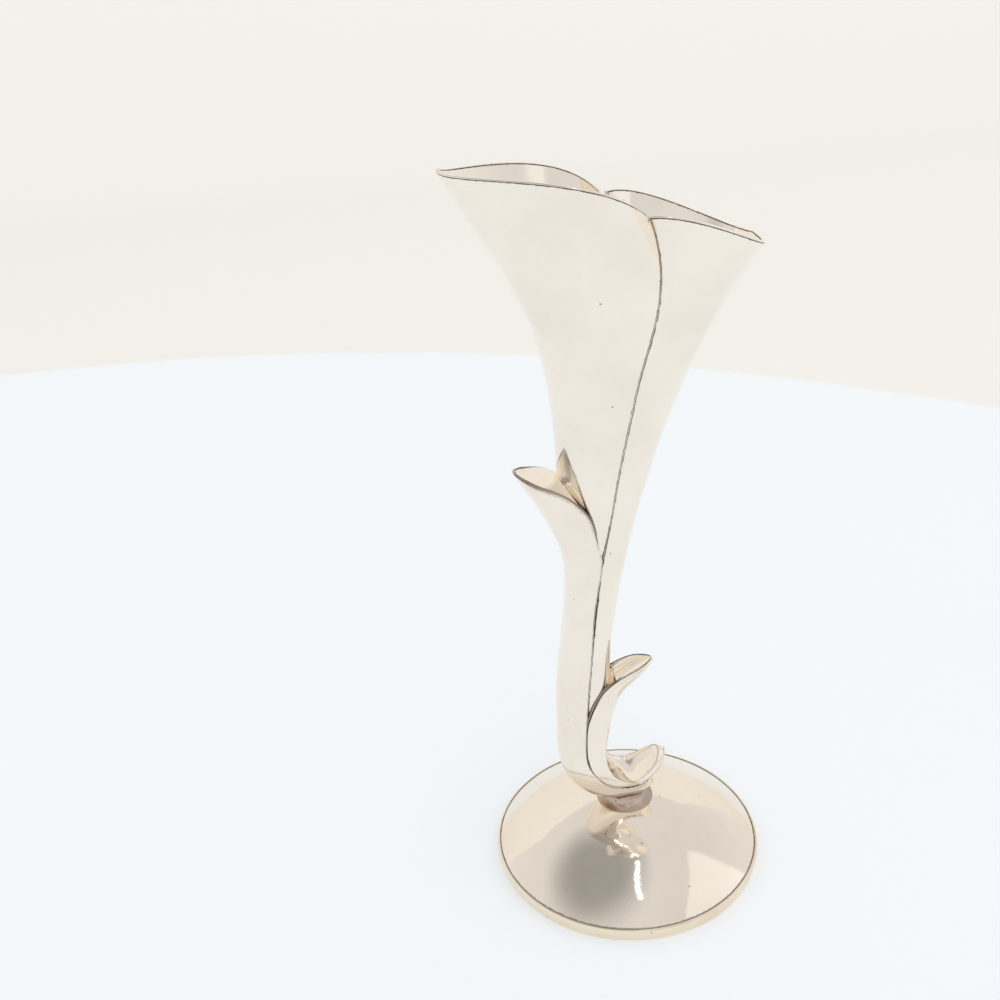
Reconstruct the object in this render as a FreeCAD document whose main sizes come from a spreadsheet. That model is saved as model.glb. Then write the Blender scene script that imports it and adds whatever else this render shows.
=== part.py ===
import FreeCAD, Part
import math
import os
import Sketcher
from FreeCAD import Vector

# A silver-plated flower vase. Two formed petals make the trumpet, a long strap-like leaf makes the
# back of the stem and bends under it, and a smaller cast leaf ends in a scoop over the domed foot.
# The origin is the centre of the foot on the table, +X points to the scoop, +Z is up.

SIZES = [
    ("vase_height", 186.2, "table to the highest tip of the mouth"),
    ("seam_height", 175.5, "table to the mouth's edge at the side seam"),
    ("hook_side_height", 166.3, "table to the mouth's lower tip"),
    ("mouth_back_reach", 35.8, "mouth's high tip behind the foot's centre"),
    ("mouth_front_reach", 33.6, "mouth's low tip before the foot's centre"),
    ("mouth_seam_width", 37.0, "across the mouth between its two side seams"),
    ("mouth_seam_place", 3.9, "how far the seams meet the mouth beyond its middle"),
    ("sheet_wall", 0.9, "thickness of the formed silver sheet"),
    ("solder_gap", 0.06, "film of solder between two pieces"),
    ("stem_top_height", 81.2, "table to the level where the trumpet starts to flare"),
    ("stem_depth", 13.2, "stem from its back to its front at that level"),
    ("stem_width", 13.8, "stem from side to side at that level"),
    ("stem_offset", 7.0, "how far the stem stands behind the foot's centre there"),
    ("stem_seam_place", 0.4, "how far the seam lies behind the stem's middle"),
    ("bend_radius", 17.65, "outside radius of the bend under the stem"),
    ("bend_width", 11.3, "width of the bend from side to side"),
    ("upper_leaf_height", 117.3, "table to the upper leaf's tip"),
    ("upper_leaf_reach", 24.4, "upper leaf's tip behind the foot's centre"),
    ("upper_leaf_width", 17.6, "widest part of the upper leaf"),
    ("lower_leaf_height", 60.0, "table to the lower leaf's tip"),
    ("leaf_tip_width", 0.9, "blunt tip of every leaf"),
    ("foot_diameter", 72.0, "widest diameter of the foot's rim"),
    ("rim_height", 3.5, "table to the top of the rim"),
    ("rim_lip", 0.75, "width of the rim's rounded top"),
    ("rim_band", 1.0, "thickness of the rim's outer band and of its ledge"),
    ("rim_crest_height", 2.4, "table to the widest level of the rim"),
    ("rim_undercut", 0.3, "how far the rim's bottom draws in"),
    ("rim_ledge", 1.6, "width of the ledge that carries the dome"),
    ("rim_step", 0.15, "how far the rim's top stands over the dome"),
    ("dome_height", 16.4, "table to the top of the dome"),
    ("dome_land_diameter", 15.6, "flat top of the dome"),
    ("collar_top_diameter", 9.4, "collar where it meets the bend"),
    ("collar_base_diameter", 15.2, "collar where it sits on the dome"),
    ("collar_height", 1.4, "dome to the underside of the bend"),
    ("stud_diameter", 3.0, "fixing stud"),
    ("stud_depth", 1.8, "how far the stud enters the stem's core"),
    ("stud_tail", 1.2, "stud beyond the nut"),
    ("hole_clearance", 0.1, "room round the stud in plain holes"),
    ("core_ease", 0.2, "room between the core and the sheets round it"),
    ("washer_diameter", 9.0, "washer under the dome"),
    ("washer_thickness", 0.8, "washer under the dome"),
    ("nut_flats", 5.5, "nut across its flats"),
    ("nut_thickness", 2.4, "nut under the washer"),
]

doc = FreeCAD.newDocument("TrumpetVase")
sheet = doc.addObject("Spreadsheet::Sheet", "Sizes")
for row, (alias, value, note) in enumerate(SIZES, 1):
    sheet.set(f"A{row}", alias)
    sheet.set(f"B{row}", str(value))
    sheet.set(f"C{row}", note)
    sheet.setAlias(f"B{row}", alias)
doc.recompute()


def size(alias):
    return float(sheet.get(alias))


def mix(start, end, share):
    """The value that lies the given share of the way from start to end."""
    return start + (end - start) * share


wall = size("sheet_wall")
gap = size("solder_gap")
bend_radius = size("bend_radius")
bend_level = size("dome_height") + size("collar_height") + bend_radius
stem_top = size("stem_top_height")
stem_back = -size("stem_offset") - size("stem_depth") / 2
stem_front = -size("stem_offset") + size("stem_depth") / 2
stem_seam = -size("stem_offset") - size("stem_seam_place")
stem_half_width = size("stem_width") / 2
bend_half_width = size("bend_width") / 2
tip_half_width = size("leaf_tip_width") / 2


# Sheets: smooth surfaces between a spine in the plane of symmetry and an edge beside it
def rail(points):
    """A smooth curve through points that are evenly spaced in its parameter."""
    last = len(points) - 1
    curve = Part.BSplineCurve()
    curve.interpolate(Points=points, Parameters=[i / last for i in range(last + 1)])
    return curve


def formed_sheet(rows):
    """
    A surface f(along, across), along from 0 to 1 and across from -1 to 1. Each row is a spine point
    (x, z), an edge point (x, y, z) and five shares that shape the cubic section between them: how
    wide it leaves the spine, how far it has come at its second handle, how much further its height
    has come at its first and at its second handle, and how wide it is at the second.
    """
    spine = rail([Vector(x, 0, z) for (x, z), _, _ in rows])
    edge = rail([Vector(*point) for _, point, _ in rows])
    reaches = rail([Vector(come, i, 0) for i, (_, _, (_, come, _, _, _)) in enumerate(rows)])
    widths = rail([Vector(leave, wide, i) for i, (_, _, (leave, _, _, _, wide)) in enumerate(rows)])
    heights = rail([Vector(drop, rise, i) for i, (_, _, (_, _, drop, rise, _)) in enumerate(rows)])

    def surface(along, across):
        start = spine.value(along)
        end = edge.value(along)
        come = reaches.value(along).x
        leave, wide, _ = widths.value(along)
        drop, rise, _ = heights.value(along)
        a = abs(across)
        first = 3 * a * (1 - a) ** 2
        second = 3 * a * a * (1 - a)
        third = a ** 3
        reach = second * come + third
        half_width = end.y * (first * leave + second * wide + third)
        level = mix(start.z, end.z, reach + first * drop + second * rise)
        return Vector(mix(start.x, end.x, reach), math.copysign(half_width, across), level)

    return surface


def offset_sheet(surface, distance):
    """The same surface moved along its normal, towards the vase's front if the distance is positive."""
    step = 1 / 500

    def moved(along, across):
        low, high = max(along - step, 0), min(along + step, 1)
        near, far = max(across - step, -1), min(across + step, 1)
        sideways = surface(along, far) - surface(along, near)
        normal = sideways.cross(surface(high, across) - surface(low, across))
        return surface(along, across) + normal.normalize() * distance

    return moved


def even_poles(points):
    """The poles of the smooth curve through points that are evenly spaced in its parameter."""
    return rail(points).getPoles()


def patch(surface, along_count, across_count):
    """A B-spline surface through an even grid of points of the given surface, and its knots."""
    columns = []
    for j in range(across_count):
        across = 2 * j / (across_count - 1) - 1
        columns.append(even_poles([surface(i / (along_count - 1), across) for i in range(along_count)]))
    poles = [even_poles(list(row)) for row in zip(*columns)]
    pattern = [rail([Vector(i, 0, 0) for i in range(count)]) for count in (along_count, across_count)]
    knots = [(curve.getMultiplicities(), curve.getKnots()) for curve in pattern]
    return poles, knots[0], knots[1]


def spline_face(poles, along_knots, across_knots, along_degree=3, across_degree=3):
    surface = Part.BSplineSurface()
    surface.buildFromPolesMultsKnots(
        poles, along_knots[0], across_knots[0], along_knots[1], across_knots[1],
        False, False, along_degree, across_degree,
    )
    return surface.toShape()


def panel(outer, inner, along_count, across_count=13):
    """A closed solid between two surfaces, with straight narrow faces round its four edges."""
    outside, along_knots, across_knots = patch(outer, along_count, across_count)
    inside, _, _ = patch(inner, along_count, across_count)
    straight = ([2, 2], [0.0, 1.0])
    faces = [spline_face(grid, along_knots, across_knots) for grid in (outside, inside)]
    for end in (0, -1):
        across_edge = [outside[end], inside[end]]
        along_edge = [[row[end] for row in grid] for grid in (outside, inside)]
        faces.append(spline_face(across_edge, straight, across_knots, along_degree=1))
        faces.append(spline_face(along_edge, straight, along_knots, along_degree=1))
    shell = Part.Shell(faces)
    shell.sewShape()
    solid = Part.Solid(shell)
    if solid.Volume < 0:
        solid.reverse()
    return solid


def add_feature(label, shape):
    feature = doc.addObject("Part::Feature", label)
    feature.Shape = shape
    feature.Label = label
    return feature


# Trumpet: its back, seam and front lines leave the stem and flare to the mouth.
# Each row of shares: rise, back flare, seam flare, width flare, front flare, tuck under the strap
TRUMPET_SHARES = [
    (0.000, 0.000, 0.03, 0.00, 0.007, 1),
    (0.113, 0.000, 0.17, 0.00, 0.069, 1),
    (0.233, 0.006, 0.37, 0.05, 0.143, 0),
    (0.366, 0.018, 0.52, 0.24, 0.241, 0),
    (0.494, 0.045, 0.69, 0.44, 0.344, 0),
    (0.626, 0.155, 0.88, 0.635, 0.475, 0),
    (0.735, 0.335, 1.10, 0.79, 0.597, 0),
    (0.857, 0.630, 1.23, 0.925, 0.762, 0),
    (1.000, 1.000, 1.00, 1.00, 1.000, 0),
]
BACK_HANDLE_SHARES = [
    (0.60, 0.45, 0.00, 0.00, 1.00), (0.60, 0.45, 0.00, 0.00, 1.00), (0.60, 0.45, 0.00, 0.00, 1.00),
    (0.60, 0.45, 0.00, 0.00, 1.00), (0.62, 0.45, 0.00, 0.00, 1.00), (0.66, 0.47, 0.00, -0.02, 1.04),
    (0.71, 0.50, 0.02, -0.12, 1.11), (0.65, 0.58, 0.08, -0.35, 1.26), (0.40, 0.72, 0.22, -0.80, 1.50),
]
FRONT_HANDLE_SHARES = [
    (0.60, 0.45, 0.00, 0.00, 1.00), (0.60, 0.45, 0.00, 0.00, 1.00), (0.60, 0.45, 0.00, 0.00, 1.00),
    (0.60, 0.45, 0.00, 0.00, 1.00), (0.62, 0.46, 0.00, 0.00, 1.00), (0.65, 0.48, 0.00, 0.00, 1.02),
    (0.71, 0.51, 0.00, 0.04, 1.06), (0.86, 0.57, -0.06, 0.18, 1.18), (1.20, 0.66, -0.25, 0.47, 1.35),
]
mouth_seam_half_width = size("mouth_seam_width") / 2


def trumpet_lines(shares):
    """Back, seam and front points of one level of the trumpet."""
    rise, back_flare, seam_flare, width_flare, front_flare, tuck = shares
    hidden = tuck * (wall + gap * 3)
    back = (
        mix(stem_back, -size("mouth_back_reach"), back_flare) + hidden,
        mix(stem_top, size("vase_height"), rise),
    )
    seam = (
        mix(stem_seam, size("mouth_seam_place"), seam_flare),
        mix(stem_half_width, mouth_seam_half_width, width_flare) - hidden,
        mix(stem_top, size("seam_height"), rise),
    )
    front = (
        mix(stem_front, size("mouth_front_reach"), front_flare),
        mix(stem_top, size("hook_side_height"), rise),
    )
    return back, seam, front


# Stem: between the bend and the trumpet's start.
# Each row of shares: rise, back line, seam line, width, front line
STEM_SHARES = [
    (0.20, 0.03, 0.05, 0.10, 0.155),
    (0.42, 0.16, 0.27, 0.45, 0.50),
    (0.73, 0.62, 0.66, 0.85, 0.71),
]
bend_seam_radius_share = 0.62
tucked_front_share = 0.38


def stem_lines(shares):
    """Back, seam and front points of one level of the stem."""
    rise, back_share, seam_share, width_share, front_share = shares
    level = mix(bend_level, stem_top, rise)
    back = (mix(-bend_radius, stem_back, back_share), level)
    seam_x = mix(-bend_radius * bend_seam_radius_share, stem_seam, seam_share)
    seam = (seam_x, mix(bend_half_width, stem_half_width, width_share), level)
    front = (mix(-bend_radius * tucked_front_share, stem_front, front_share), level)
    return back, seam, front


def on_bend(angle, radius_share):
    """A point (x, z) of the bend: the angle runs from the stem's back, down and round to the front."""
    turn = math.radians(angle)
    radius = bend_radius * radius_share
    return (-radius * math.cos(turn), bend_level - radius * math.sin(turn))


# Back petal of the trumpet, the outer one at the seams
back_rows = []
for shares, handle in zip(TRUMPET_SHARES, BACK_HANDLE_SHARES):
    back, seam, _ = trumpet_lines(shares)
    back_rows.append((back, seam, handle))
back_petal_surface = formed_sheet(back_rows)
add_feature("back_petal", panel(back_petal_surface, offset_sheet(back_petal_surface, wall), 33))

# Front petal, whose edges lie just inside the back petal's and the strap's
front_rows = []
for shares in STEM_SHARES:
    _, seam, front = stem_lines(shares)
    front_rows.append((front, (seam[0], seam[1] - wall - gap, seam[2]), FRONT_HANDLE_SHARES[0]))
for shares, handle in zip(TRUMPET_SHARES, FRONT_HANDLE_SHARES):
    _, seam, front = trumpet_lines(shares[:5] + (0,))
    front_rows.append((front, (seam[0], seam[1] - wall - gap, seam[2]), handle))
front_petal_surface = formed_sheet(front_rows)
add_feature("front_petal", panel(front_petal_surface, offset_sheet(front_petal_surface, -wall), 45))

# Upper leaf: a hollow strap from under the scoop, round the bend and up the stem's back, where it
# fills out into a solid blade with a dished top. Its outer skin and its inner skin have equal rows.
# Bend rows: angle, outer radius, edge radius and width, as shares of the bend's own sizes
STRAP_BEND_SHARES = [
    (125, 0.870, 0.676, 0.92),
    (112, 0.920, 0.680, 0.98),
    (95, 0.970, 0.680, 1.00),
    (65, 1.006, 0.665, 1.00),
    (35, 1.012, 0.616, 1.00),
    (5, 1.004, 0.625, 0.98),
]
# Blade rows: outer back place and rise, edge place and rise, half width, inner back place and rise
BLADE_SHARES = [
    (0.00, 0.294, -0.11, 0.313, 0.82, -0.08, 0.300),
    (0.13, 0.451, -0.05, 0.485, 0.90, -0.18, 0.580),
    (0.29, 0.569, 0.01, 0.613, 0.93, -0.18, 0.800),
    (0.47, 0.686, 0.13, 0.736, 0.97, -0.03, 0.915),
    (0.67, 0.804, 0.40, 0.865, 1.00, 0.26, 0.935),
    (0.85, 0.897, 0.71, 0.930, 0.77, 0.56, 0.950),
    (0.96, 0.961, 0.92, 0.975, 0.37, 0.82, 0.970),
]
strap_shares = (0.75, 0.30, 0.00, 0.00, 1.00)
blade_shares = (0.60, 0.38, 0.00, 0.00, 1.00)
tip_shares = (0.35, 0.34, 0.00, 0.00, 0.67)
dish_lip_share = 0.8
blunt_share = 1 / 3
upper_tip = (-size("upper_leaf_reach"), size("upper_leaf_height"))
outer_rows = []
inner_rows = []
for angle, outer, edge, width in STRAP_BEND_SHARES:
    edge_x, edge_z = on_bend(angle, edge)
    half_width = bend_half_width * width
    outer_rows.append((on_bend(angle, outer), (edge_x, half_width, edge_z), strap_shares))
    inner = on_bend(angle, outer - wall / bend_radius)
    inner_rows.append((inner, (edge_x, half_width - wall, edge_z), strap_shares))
stem_rows = [stem_lines(shares)[:2] for shares in STEM_SHARES]
stem_rows.append(((stem_back, stem_top), (stem_seam, stem_half_width, stem_top)))
for back, seam in stem_rows:
    outer_rows.append((back, seam, strap_shares))
    inner_rows.append(((back[0] + wall, back[1]), (seam[0], seam[1] - wall, seam[2]), strap_shares))
for place, rise, edge_place, edge_rise, width, inner_place, inner_rise in BLADE_SHARES:
    back = (mix(stem_back, upper_tip[0], place), mix(stem_top, upper_tip[1], rise))
    inner_back = (mix(stem_back, upper_tip[0], inner_place), mix(stem_top, upper_tip[1], inner_rise))
    edge_x = mix(stem_seam, upper_tip[0], edge_place)
    edge_z = mix(stem_top, upper_tip[1], edge_rise)
    half_width = size("upper_leaf_width") / 2 * width
    outer_rows.append((back, (edge_x, half_width, edge_z), blade_shares))
    lip_level = edge_z + wall * (1 - dish_lip_share)
    inner_rows.append((inner_back, (edge_x, half_width - wall * dish_lip_share, lip_level), blade_shares))
blunt_x = upper_tip[0] + tip_half_width
blunt_z = upper_tip[1] - tip_half_width * blunt_share
outer_rows.append((upper_tip, (upper_tip[0], tip_half_width, upper_tip[1]), tip_shares))
blunt_edge = (blunt_x, tip_half_width * dish_lip_share, blunt_z)
inner_rows.append(((blunt_x, blunt_z), blunt_edge, tip_shares))
upper_leaf_surface = formed_sheet(outer_rows)
upper_leaf = panel(upper_leaf_surface, formed_sheet(inner_rows), 65)
petal_skin, skin_along, skin_across = patch(offset_sheet(back_petal_surface, -gap), 33, 13)
petal_room = spline_face(petal_skin, skin_along, skin_across).extrude(Vector(size("foot_diameter"), 0, 0))
upper_leaf = upper_leaf.cut(petal_room)

# Lower leaf: one casting, a thick leaf down the front of the stem that turns forward into a scoop.
# Rows: back spine x z, back edge x y z, face spine x z, face edge x y z. Each x is a share of the
# bend's radius, each y of its half width, each z of the leaf's rise above the bend's centre or of
# the bend's radius below it.
LOWER_LEAF_SHARES = [
    ((0.470, 0.993), (0.470, 0.08, 1.000), (0.486, 0.979), (0.486, 0.08, 0.979)),
    ((0.260, 0.893), (0.250, 0.60, 0.971), (0.310, 0.850), (0.270, 0.63, 0.943)),
    ((0.020, 0.771), (0.000, 0.73, 0.911), (0.090, 0.721), (0.030, 0.76, 0.879)),
    ((-0.190, 0.593), (-0.283, 0.83, 0.800), (-0.060, 0.564), (-0.220, 0.86, 0.764)),
    ((-0.250, 0.393), (-0.455, 0.98, 0.656), (-0.180, 0.350), (-0.270, 0.95, 0.564)),
    ((-0.300, 0.179), (-0.580, 1.00, 0.421), (-0.250, 0.164), (-0.310, 0.95, 0.307)),
    ((-0.400, -0.030), (-0.615, 0.98, 0.150), (-0.300, -0.010), (-0.340, 0.93, 0.064)),
    ((-0.440, -0.330), (-0.588, 0.99, -0.190), (-0.280, -0.290), (-0.330, 0.97, -0.200)),
    ((-0.280, -0.610), (-0.400, 1.00, -0.500), (-0.170, -0.540), (-0.230, 1.00, -0.390)),
    ((-0.060, -0.760), (-0.140, 1.02, -0.640), (-0.010, -0.680), (-0.060, 1.02, -0.550)),
    ((0.180, -0.770), (0.160, 1.00, -0.650), (0.170, -0.690), (0.120, 1.00, -0.570)),
    ((0.430, -0.650), (0.400, 0.85, -0.540), (0.360, -0.560), (0.330, 0.82, -0.440)),
    ((0.600, -0.480), (0.570, 0.52, -0.410), (0.490, -0.410), (0.470, 0.54, -0.320)),
    ((0.650, -0.310), (0.640, 0.08, -0.310), (0.544, -0.270), (0.540, 0.08, -0.260)),
]
leaf_shares = (0.55, 0.45, 0.00, 0.00, 1.00)
leaf_rise = size("lower_leaf_height") - bend_level


def leaf_level(share):
    """The height of a share above or below the bend's centre."""
    return bend_level + share * (leaf_rise if share > 0 else bend_radius)


def leaf_rows(spine_column, edge_column):
    """The rows of one sheet of the lower leaf from two columns of the table."""
    rows = []
    for row in LOWER_LEAF_SHARES:
        spine, edge = row[spine_column], row[edge_column]
        handle = tip_shares if row in (LOWER_LEAF_SHARES[0], LOWER_LEAF_SHARES[-1]) else leaf_shares
        spine_point = (spine[0] * bend_radius, leaf_level(spine[1]))
        edge_point = (edge[0] * bend_radius, edge[1] * bend_half_width, leaf_level(edge[2]))
        rows.append((spine_point, edge_point, handle))
    return rows


leaf_back = formed_sheet(leaf_rows(0, 1))
leaf_face = formed_sheet(leaf_rows(2, 3))
add_feature("lower_leaf", panel(leaf_back, leaf_face, 53))


# Stem core: a cast filler between the strap and the pieces in front of it, oval all the way up.
# Rows on the bend: angle, outer and inner radius share. Rows on the stem use the stem's own shares
CORE_BEND_SHARES = [
    (101, 0.90, 0.80), (85, 0.93, 0.78), (60, 0.95, 0.72), (32, 0.95, 0.62), (5, 0.94, 0.48),
]
core_depth_share = 0.94
core_half_width_share = 0.62
core_rows = []
for angle, outer, inner in CORE_BEND_SHARES:
    outer_x, outer_z = on_bend(angle, outer)
    inner_x, inner_z = on_bend(angle, inner)
    core_rows.append((Vector(outer_x, 0, outer_z), Vector(inner_x, 0, inner_z), bend_half_width))
for shares in STEM_SHARES:
    back, seam, front = stem_lines(shares)
    ease = wall + size("core_ease")
    core_rows.append((Vector(back[0] + ease, 0, back[1]), Vector(front[0] - ease, 0, front[1]), seam[1]))
core_middle = rail([(back + front) * 0.5 for back, front, _ in core_rows])
core_reach = rail([(front - back) * (core_depth_share / 2) for back, front, _ in core_rows])
core_half_widths = [half_width * core_half_width_share for _, _, half_width in core_rows]
core_width = rail([Vector(half_width, i, 0) for i, half_width in enumerate(core_half_widths)])


def core_surface(along, across):
    """The oval skin: across runs once round from -1 to 1."""
    turn = math.pi * across
    side = Vector(0, core_width.value(along).x * math.sin(turn), 0)
    return core_middle.value(along) + core_reach.value(along) * math.cos(turn) + side


core_poles, core_along, core_across = patch(core_surface, 33, 25)
skin = spline_face(core_poles, core_along, core_across)
caps = []
for end in (0, -1):
    ring = Part.BSplineCurve()
    ring.buildFromPolesMultsKnots(core_poles[end], core_across[0], core_across[1], False, 3)
    caps.append(Part.Face(Part.Wire(ring.toShape())))
core_shell = Part.Shell([skin] + caps)
core_shell.sewShape()
stem_core = Part.Solid(core_shell)
if stem_core.Volume < 0:
    stem_core.reverse()

# Turned pieces: each is a body with one sketched half section turned round Z
def turned_body(label, corners):
    """Corners are (radius, height) pairs of formulas on the sheet, in order round the half section."""
    body = doc.addObject("PartDesign::Body", label)
    sketch = body.newObject("Sketcher::SketchObject", label + "_section")
    plane = next(item for item in body.Origin.OriginFeatures if item.Role == "XZ_Plane")
    sketch.AttachmentSupport = (plane, [""])
    sketch.MapMode = "FlatFace"
    places = [[float(sheet.evalExpression(formula)) for formula in corner] for corner in corners]
    points = [Vector(*place, 0) for place in places]
    count = len(points)
    for i in range(count):
        sketch.addGeometry(Part.LineSegment(points[i], points[(i + 1) % count]), False)
    for i in range(count):
        sketch.addConstraint(Sketcher.Constraint("Coincident", i, 2, (i + 1) % count, 1))
    for i, corner in enumerate(corners):
        for kind, axis, formula, value in zip(("DistanceX", "DistanceY"), (-2, -1), corner, points[i]):
            if formula == "0":
                sketch.addConstraint(Sketcher.Constraint("PointOnObject", i, 1, axis))
            else:
                index = sketch.addConstraint(Sketcher.Constraint(kind, -1, 1, i, 1, value))
                sketch.setExpression(f"Constraints[{index}]", formula)
    turn = body.newObject("PartDesign::Revolution", label + "_turn")
    turn.Profile = sketch
    turn.ReferenceAxis = (sketch, ["V_Axis"])
    turn.Angle = 360
    body.Tip = turn
    body.Label = label
    doc.recompute()
    return body


rim_outer = "Sizes.foot_diameter / 2"
rim_inner = "Sizes.foot_diameter / 2 - Sizes.rim_lip"
band_inner = "Sizes.foot_diameter / 2 - Sizes.rim_undercut - Sizes.rim_band"
ledge_top = "Sizes.rim_height - Sizes.rim_step - Sizes.sheet_wall - Sizes.solder_gap"
turned_body("foot_rim", [
    (band_inner, "0"),
    (f"{rim_outer} - Sizes.rim_undercut", "0"),
    (rim_outer, "Sizes.rim_crest_height"),
    (f"{rim_outer} - Sizes.rim_lip * 0.2", "Sizes.rim_height - Sizes.rim_lip * 0.4"),
    (f"{rim_outer} - Sizes.rim_lip * 0.5", "Sizes.rim_height"),
    (f"{rim_outer} - Sizes.rim_lip * 0.8", "Sizes.rim_height"),
    (rim_inner, "Sizes.rim_height - Sizes.rim_lip * 0.2"),
    (rim_inner, ledge_top),
    (f"{rim_inner} - Sizes.rim_ledge", ledge_top),
    (f"{rim_inner} - Sizes.rim_ledge", f"{ledge_top} - Sizes.rim_band"),
    (band_inner, f"{ledge_top} - Sizes.rim_band"),
])

# Domed foot: one spun sheet, steepest at its edge, with a flat land on top and a hole for the stud
DOME_SHARES = [(1.0, 0.0), (0.88, 0.25), (0.75, 0.475), (0.60, 0.685), (0.45, 0.84), (0.32, 0.94)]
dome_edge = size("foot_diameter") / 2 - size("rim_lip") - gap
dome_start = size("rim_height") - size("rim_step")
stud_hole = size("stud_diameter") / 2 + size("hole_clearance")
land_radius = size("dome_land_diameter") / 2
dome_top = size("dome_height")
dome_line = [Vector(dome_edge * out, 0, mix(dome_start, dome_top, rise)) for out, rise in DOME_SHARES]
dome_line.append(Vector(land_radius, 0, dome_top))
outer_curve = Part.BSplineCurve()
outer_curve.interpolate(dome_line)
inner_curve = outer_curve.copy()
inner_curve.translate(Vector(0, 0, -wall))
land_drop = Vector(0, 0, -wall)
hole_top = Vector(stud_hole, 0, dome_top)
dome_section = Part.Wire([
    outer_curve.toShape(),
    Part.LineSegment(dome_line[-1], hole_top).toShape(),
    Part.LineSegment(hole_top, hole_top + land_drop).toShape(),
    Part.LineSegment(hole_top + land_drop, dome_line[-1] + land_drop).toShape(),
    inner_curve.toShape(),
    Part.LineSegment(dome_line[0] + land_drop, dome_line[0]).toShape(),
])
foot_dome = Part.Face(dome_section).revolve(Vector(0, 0, 0), Vector(0, 0, 1), 360)
add_feature("foot_dome", foot_dome)

# Fixing: a stud from the stem's core through the collar and the dome, with a washer and a nut below
washer_top = "Sizes.dome_height - Sizes.sheet_wall - Sizes.solder_gap"
washer_bottom = f"{washer_top} - Sizes.washer_thickness"
nut_top = f"{washer_bottom} - Sizes.solder_gap"
nut_bottom = f"{nut_top} - Sizes.nut_thickness"
core_foot = "Sizes.dome_height + Sizes.collar_height + Sizes.bend_radius * 0.07"
stud_radius = "Sizes.stud_diameter / 2"
plain_hole = "Sizes.stud_diameter / 2 + Sizes.hole_clearance"
close_hole = "Sizes.stud_diameter / 2 + Sizes.solder_gap"
turned_body("fixing_stud", [
    ("0", f"{nut_bottom} - Sizes.stud_tail"),
    (stud_radius, f"{nut_bottom} - Sizes.stud_tail"),
    (stud_radius, f"{core_foot} + Sizes.stud_depth"),
    ("0", f"{core_foot} + Sizes.stud_depth"),
])
turned_body("fixing_washer", [
    (plain_hole, washer_bottom),
    ("Sizes.washer_diameter / 2", washer_bottom),
    ("Sizes.washer_diameter / 2", washer_top),
    (plain_hole, washer_top),
])
hexagon = doc.addObject("Part::Prism", "nut_hexagon")
hexagon.Polygon = 6
hexagon.setExpression("Circumradius", "Sizes.nut_flats / sqrt(3)")
hexagon.setExpression("Height", "Sizes.nut_thickness")
hexagon.setExpression("Placement.Base.z", nut_bottom)
thread = doc.addObject("Part::Cylinder", "nut_thread")
thread.setExpression("Radius", close_hole)
thread.setExpression("Height", "Sizes.nut_thickness * 2")
thread.setExpression("Placement.Base.z", f"{nut_bottom} - Sizes.nut_thickness / 2")
nut = doc.addObject("Part::Cut", "fixing_nut")
nut.Base = hexagon
nut.Tool = thread

# Collar: a low seat on the dome whose top is cut to the underside of the bend
collar_blank = turned_body("collar_blank", [
    (plain_hole, "Sizes.dome_height + Sizes.solder_gap"),
    ("Sizes.collar_base_diameter / 2", "Sizes.dome_height + Sizes.solder_gap"),
    ("Sizes.collar_base_diameter / 2", "Sizes.dome_height + Sizes.collar_height * 0.12"),
    ("Sizes.collar_base_diameter * 0.41", "Sizes.dome_height + Sizes.collar_height * 0.36"),
    ("Sizes.collar_base_diameter * 0.35", "Sizes.dome_height + Sizes.collar_height * 0.8"),
    ("Sizes.collar_base_diameter * 0.32", "Sizes.dome_height + Sizes.collar_height * 1.3"),
    ("Sizes.collar_top_diameter / 2", "Sizes.dome_height + Sizes.collar_height * 2"),
    (plain_hole, "Sizes.dome_height + Sizes.collar_height * 2"),
])


def bend_underside(along, across):
    """The strap's outer surface under the bend, a film of solder further out."""
    return under_strap(mix(0.0, 0.28, along), across)


under_strap = offset_sheet(upper_leaf_surface, -gap)
saddle_poles, saddle_along, saddle_across = patch(bend_underside, 25, 13)
saddle_face = spline_face(saddle_poles, saddle_along, saddle_across)
saddle = doc.addObject("Part::Feature", "collar_saddle")
saddle.Shape = saddle_face.extrude(Vector(0, 0, bend_radius))
collar = doc.addObject("Part::Cut", "collar")
collar.Base = collar_blank
collar.Tool = saddle
doc.recompute()

# Stud holes through the strap and into the core
strap_hole = Part.makeCylinder(stud_hole, bend_radius / 2, Vector(0, 0, bend_level - bend_radius * 1.2))
add_feature("upper_leaf", upper_leaf.cut(strap_hole))
stud_top = float(sheet.evalExpression(f"{core_foot} + Sizes.stud_depth")) + gap
core_hole_start = bend_level - bend_radius * 1.2
core_hole_radius = size("stud_diameter") / 2 + gap
core_hole = Part.makeCylinder(core_hole_radius, stud_top - core_hole_start, Vector(0, 0, core_hole_start))
add_feature("stem_core", stem_core.cut(core_hole))
doc.recompute()

NODES = [
    "foot_dome", "foot_rim", "collar", "back_petal", "front_petal", "upper_leaf", "lower_leaf",
    "stem_core", "fixing_stud", "fixing_washer", "fixing_nut",
]
os.makedirs("parts", exist_ok=True)
for item in doc.Objects:
    if {"Invalid", "Error"} & set(item.State):
        raise RuntimeError(f"{item.Label} did not compute: {item.State}")
for label in NODES:
    shape = doc.getObjectsByLabel(label)[0].Shape
    if shape.isNull() or not shape.isValid():
        raise RuntimeError(f"{label} has no valid shape")
    shape.exportStep(f"parts/{label}.step")
    box = shape.BoundBox
    print(f"{label}: {box.XLength:.2f} x {box.YLength:.2f} x {box.ZLength:.2f} mm, from z {box.ZMin:.2f}")
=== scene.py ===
import math
import bpy
import numpy as np
from mathutils import Matrix


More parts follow.
